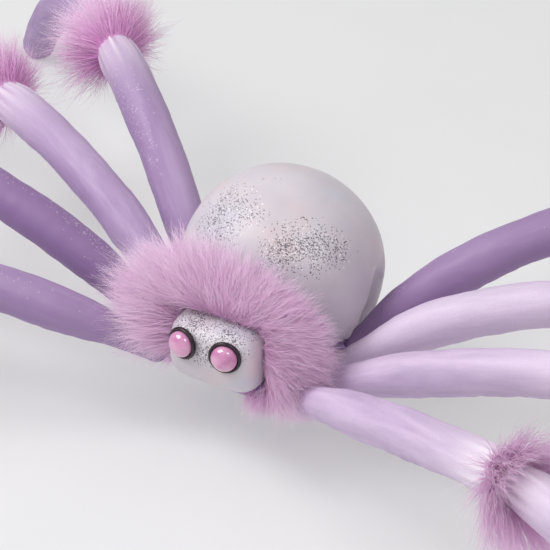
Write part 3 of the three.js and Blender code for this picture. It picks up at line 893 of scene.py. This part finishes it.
def collar_pile(co, nor):
    """Grow the collar's hair from its pelt, given the pelt's points and normals."""
    rng = np.random.default_rng(COLLAR_SEED)
    # roots: everywhere but the collar's back, which lies on the abdomen
    radial = co - [middle("fur_collar")[0], 0, HEAD[2]]
    radial[:, 1] = 0
    radial = unit(radial)
    usable = np.flatnonzero(((radial * nor).sum(1) > 0.0) | (nor[:, 1] < -0.3))
    pick = rng.choice(usable, COLLAR_HAIRS)
    # the pile also hangs over the pad's front edge, on the toy's left
    pad_co, pad_nor = points_of(pad), normals_of(pad)
    beside = np.abs(pad_co[:, 0] - HUNG_MIDDLE) < HUNG_HALF
    ahead = (pad_co[:, 1] < HUNG_AHEAD) & (pad_nor[:, 1] < -0.2)
    hung = rng.choice(np.flatnonzero(beside & ahead), PAD_HAIRS)
    count = COLLAR_HAIRS + PAD_HAIRS
    face = np.vstack([nor[pick], pad_nor[hung]])
    roots = np.vstack([co[pick], pad_co[hung]]) + rng.normal(size=(count, 3)) * ROOT_SCATTER
    out = np.vstack([radial[pick], unit(pad_nor[hung] + [0.15, -0.3, -0.3])])
    ups = unit(out * 0.9 + [0, -0.15, 0] + face * 0.5)
    top, left = np.clip(out[:, 2], 0, 1), np.clip(-out[:, 0], 0, 1)
    # combed longest to the toy's right and up, and short below
    bearing = np.degrees(np.arctan2(out[:, 2], out[:, 0])) % 360
    reach = np.interp(bearing, *COLLAR_REACH)
    reach[-PAD_HAIRS:] = HUNG_REACH
    under = np.clip(-out[:, 2], 0, 1)
    comb = np.stack([-0.1 - 0.1 * top, 0.25 + 0.3 * top - 0.8 * under, -0.12 * left], 1)
    flow = out * 0.7 + comb
    length = (0.021 + 0.044 * rng.beta(1.7, 2.2, count)) * reach
    path, tint = clumped(roots, ups, length, rng, 1700, 0.34, 0.12, flow, 0.36)
    # painted light: hairs on this side are tinted lighter, to lift their shade
    tint = np.clip(tint + 0.55 * left, 0, 1)
    lift = rng.uniform(0.5 * MM, 9 * MM, (count, 1)) * np.linspace(0.4, 1, HAIR_PLACES)
    path = push_off_legs(push_out(path, lift), lift)
    pile_normal = unit(ups * 0.5 + [0, -0.5, 0.6])
    pile = hair_mesh("collar_pile", path, rng, tint, pile_normal, np.cross(out, [0, 1, 0]))
    give(pile, FUR)
    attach(pile, "body")
    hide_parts("fur_collar")


collar_pile(*collar_backing())

# knee hair stays this far over the floor and over the CAD model's top
HAIR_LOW, HAIR_HIGH = 2 * MM, cad_high[2] + 12 * MM
KNEE_HAIRS = 4200
# the strip along the leg that knee hair grows from, before and past the knee
HAIR_BEFORE, HAIR_PAST = 8 * MM, 6 * MM
KNEE_ROOTS_OUT = 13.5 * MM
KNEE_FINE = 600


def knee_fur(leg, seed):
    rng = np.random.default_rng(seed)
    line = lines[leg]
    centres, run, tangent, across, up = leg_frames(line, KNEE_FINE)
    at, count = line["knee_run"], KNEE_HAIRS
    s = at + rng.uniform(-HAIR_BEFORE, HAIR_PAST, count)
    i = np.searchsorted(run, s)
    angle = rng.uniform(0, 2 * math.pi, count)
    out = across[i] * np.cos(angle)[:, None] + up[i] * np.sin(angle)[:, None]
    roots = centres[i] + out * KNEE_ROOTS_OUT
    spread = ((s - at + HAIR_BEFORE) / (HAIR_BEFORE + HAIR_PAST))[:, None]
    away = unit(line["knee"] - line["hip"])
    ups = unit(out + away * (0.35 + spread * 0.6))
    below = np.clip(-out[:, 2], 0, 1)
    length = (0.015 + 0.033 * rng.beta(1.7, 1.9, count)) * (1 + 0.35 * below)
    flow = out * 0.5 + away * (0.75 + spread * 0.5)
    path, tint = clumped(roots, ups, length, rng, 320, 0.40, 0.18, flow, 0.34)
    # painted light on the left knees' hair, painted shade on the right knees' hair
    tint = np.clip(tint + (0.8 if leg.startswith("left") else -0.5), 0, 1)
    path[..., 2] = np.clip(path[..., 2], HAIR_LOW, HAIR_HIGH)
    around = np.cross(out, tangent[i])
    pile = hair_mesh(leg + "_knee_pile", path, rng, tint, unit(ups * 0.5 + [0, 0, 1]), around)
    # the left knees get the lighter copy of the pile: painted light
    give(pile, PAINTED_LIGHT_FUR if leg.startswith("left") else FUR)
    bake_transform(pile)
    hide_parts(leg + "_knee_fur")


BAND_ROWS, BAND_SIDES = 26, 64
BAND_BEFORE, BAND_PAST = 8 * MM, 9 * MM
# the band's inner radius, its outer radius at its edges, and how much its middle stands out
BAND_INNER, BAND_EDGE, BAND_CROWN = 10.5 * MM, 11.8 * MM, 3.4 * MM
BAND_TUFTS = 0.7 * MM


def knee_band(leg, seed):
    """The strip of pelt that a knee's pile grows from."""
    line = lines[leg]
    centres, run, _, across, up = leg_frames(line, KNEE_FINE)
    at = line["knee_run"]
    rows, sides = BAND_ROWS, BAND_SIDES
    profile = np.linspace(-BAND_BEFORE, BAND_PAST, rows)
    points, faces = [], []
    ring_angle = np.linspace(0, 2 * math.pi, sides, endpoint=False)
    for k, d in enumerate(profile):
        j = np.searchsorted(run, at + d)
        round_off = 1 - ((k / (rows - 1) - 0.5) * 2) ** 4
        r = BAND_EDGE + BAND_CROWN * round_off
        ring = across[j] * np.cos(ring_angle)[:, None] + up[j] * np.sin(ring_angle)[:, None]
        points.append(centres[j] + ring * r)
    points = np.vstack(points)
    tufts = field(points, 240, seed) * BAND_TUFTS
    centre_line = np.repeat(centres[np.searchsorted(run, at + profile)], sides, axis=0)
    points = points + unit(points - centre_line) * tufts[:, None]
    inner = centre_line + unit(points - centre_line) * BAND_INNER
    offset = len(points)
    for r in range(rows - 1):
        for k in range(sides):
            a, b = r * sides + k, r * sides + (k + 1) % sides
            faces.append((a, b, b + sides, a + sides))
            faces.append((offset + b, offset + a, offset + a + sides, offset + b + sides))
    for k in range(sides):
        b = (k + 1) % sides
        faces.append((b, k, offset + k, offset + b))
        e = (rows - 1) * sides
        faces.append((e + k, e + b, offset + e + b, offset + e + k))
    band = make_object(leg + "_knee_band", np.vstack([points, inner]), faces)
    give(band, BACKING)
    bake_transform(band)
    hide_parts(leg + "_knee_fur")


KNEE_SEED = 100
for i, leg in enumerate(LEGS):
    knee_fur(leg, KNEE_SEED + i)
    knee_band(leg, KNEE_SEED + i)


# ---------------------------------------------------------------- eyes
def turned(name, profile, centre, axis, sides=72):
    """A closed lathe form: profile is (radius, distance along axis) in millimetres."""
    axis = unit(axis)
    a = unit(np.cross(axis, [0, 0, 1]))
    b = np.cross(axis, a)
    points, faces, starts = [], [], []
    for r, h in profile:
        starts.append(len(points))
        ring = sides if r > 0 else 1
        for k in range(ring):
            turn = 2 * math.pi * k / sides
            points.append(centre + (axis * h + (a * math.cos(turn) + b * math.sin(turn)) * r) * MM)
    for i in range(len(profile) - 1):
        p, q = starts[i], starts[i + 1]
        for k in range(sides):
            k2 = (k + 1) % sides
            if profile[i][0] == 0:
                faces.append((p, q + k2, q + k))
            elif profile[i + 1][0] == 0:
                faces.append((p + k, p + k2, q))
            else:
                faces.append((p + k, p + k2, q + k2, q + k))
    return make_object(name, points, faces)


def rounded_profile(points, radius, steps=4):
    """Rounds the inner corners of an open profile."""
    out = [points[0]]
    for before, here, after in zip(points, points[1:], points[2:]):
        here = np.array(here, float)
        d0, d1 = np.array(before) - here, np.array(after) - here
        reach = min(radius, 0.45 * np.linalg.norm(d0), 0.45 * np.linalg.norm(d1))
        p0, p1 = here + unit(d0) * reach, here + unit(d1) * reach
        for t in np.linspace(0, 1, steps):
            out.append(tuple((1 - t) ** 2 * p0 + 2 * t * (1 - t) * here + t * t * p1))
    out.append(points[-1])
    return out


# eye sizes in mm; heights are taken from the rim's back
WASHER_BEHIND = 7.6
STEM_RADIUS, STEM_END = 2.2, -10
RIM_BACK, RIM_FRONT, RIM_RADIUS, RIM_CORNER = -0.1, 2.95, 11.7, 0.6
RIM_OUTLINE = (
    (0, STEM_END),
    (STEM_RADIUS, STEM_END),
    (STEM_RADIUS, RIM_BACK),
    (RIM_RADIUS - 0.3, RIM_BACK),
    (RIM_RADIUS, 1.2),
    (RIM_RADIUS - 0.4, 2.5),
    (RIM_RADIUS - 1.3, RIM_FRONT),
    (RIM_RADIUS - 2.1, 2.7),
    (RIM_RADIUS - 2.3, 1.3),
    (0, 1.25),
)
DOME_RADIUS, DOME_RISE, DOME_SPRING, DOME_STEPS = 9.2, 6.4, 3.0, 14


def dome_outline():
    out = [(0, 1.5), (DOME_RADIUS - 0.3, 1.5), (DOME_RADIUS, 1.8), (DOME_RADIUS, 2.8)]
    for i in range(1, DOME_STEPS + 1):
        turn = math.pi / 2 * i / DOME_STEPS
        r = DOME_RADIUS * math.cos(turn) if i < DOME_STEPS else 0
        out.append((r, DOME_SPRING + DOME_RISE * math.sin(turn)))
    return out


for side in ("right_eye", "left_eye"):
    dome_at, washer_at = middle(side + "_dome"), middle(side + "_washer")
    axis = unit(dome_at - washer_at)
    rim_back = washer_at + axis * WASHER_BEHIND * MM
    rim_outline = rounded_profile(RIM_OUTLINE, RIM_CORNER)
    rim = turned(side + "_rim_ring", rim_outline, rim_back, axis)
    give(rim, EYE_BLACK)
    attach(rim, "body")
    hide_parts(side + "_rim")
    dome = turned(side + "_cabochon", dome_outline(), rim_back, axis)
    give(dome, EYE_PINK)
    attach(dome, "body")
    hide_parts(side + "_dome")

# ---------------------------------------------------------------- stage and light
FLOOR_HALF = 6
square = ((-1, -1), (1, -1), (1, 1), (-1, 1))
floor_points = [(x * FLOOR_HALF, y * FLOOR_HALF, 0) for x, y in square]
floor = make_object("floor", floor_points, [(0, 1, 2, 3)], smooth=False)
TABLE_GLOW = 0.33
# a translucent table lit softly from below, so that shadows on it stay pale
table = plain("pale_floor", srgb(180, 180, 181), srgb(184, 184, 185), 3, 0.7, 0.0, 0.0)
table_shader = table.node_tree.nodes["Principled BSDF"]
table_shader.inputs["Emission Color"].default_value = (1, 1, 1, 1)
table_shader.inputs["Emission Strength"].default_value = TABLE_GLOW
give(floor, table)


def lamp(name, azimuth, elevation, distance, size, power):
    """A soft square lamp that faces the toy, placed by azimuth and elevation as the camera is."""
    a, e = math.radians(azimuth), math.radians(elevation)
    way = Vector((math.sin(a) * math.cos(e), -math.cos(a) * math.cos(e), math.sin(e)))
    light = bpy.data.lights.new(name, "AREA")
    light.size, light.energy = size, power
    o = bpy.data.objects.new(name, light)
    scene.collection.objects.link(o)
    o.location = Vector(ABDOMEN) + way * distance
    o.rotation_mode = "QUATERNION"
    o.rotation_quaternion = way.to_track_quat("Z", "Y")


lamp("key", -52, 52, 1.9, 1.1, 23)
lamp("front", 58, 54, 2.0, 0.6, 7)
lamp("behind", 200, 65, 2.4, 1.6, 3)
SKY_LIGHT = 0.45
world = bpy.data.worlds.new("studio")
world.use_nodes = True
sky = world.node_tree.nodes["Background"]
sky.inputs["Color"].default_value = (1, 1, 1, 1)
sky.inputs["Strength"].default_value = SKY_LIGHT
scene.world = world
scene.view_settings.view_transform = "Standard"
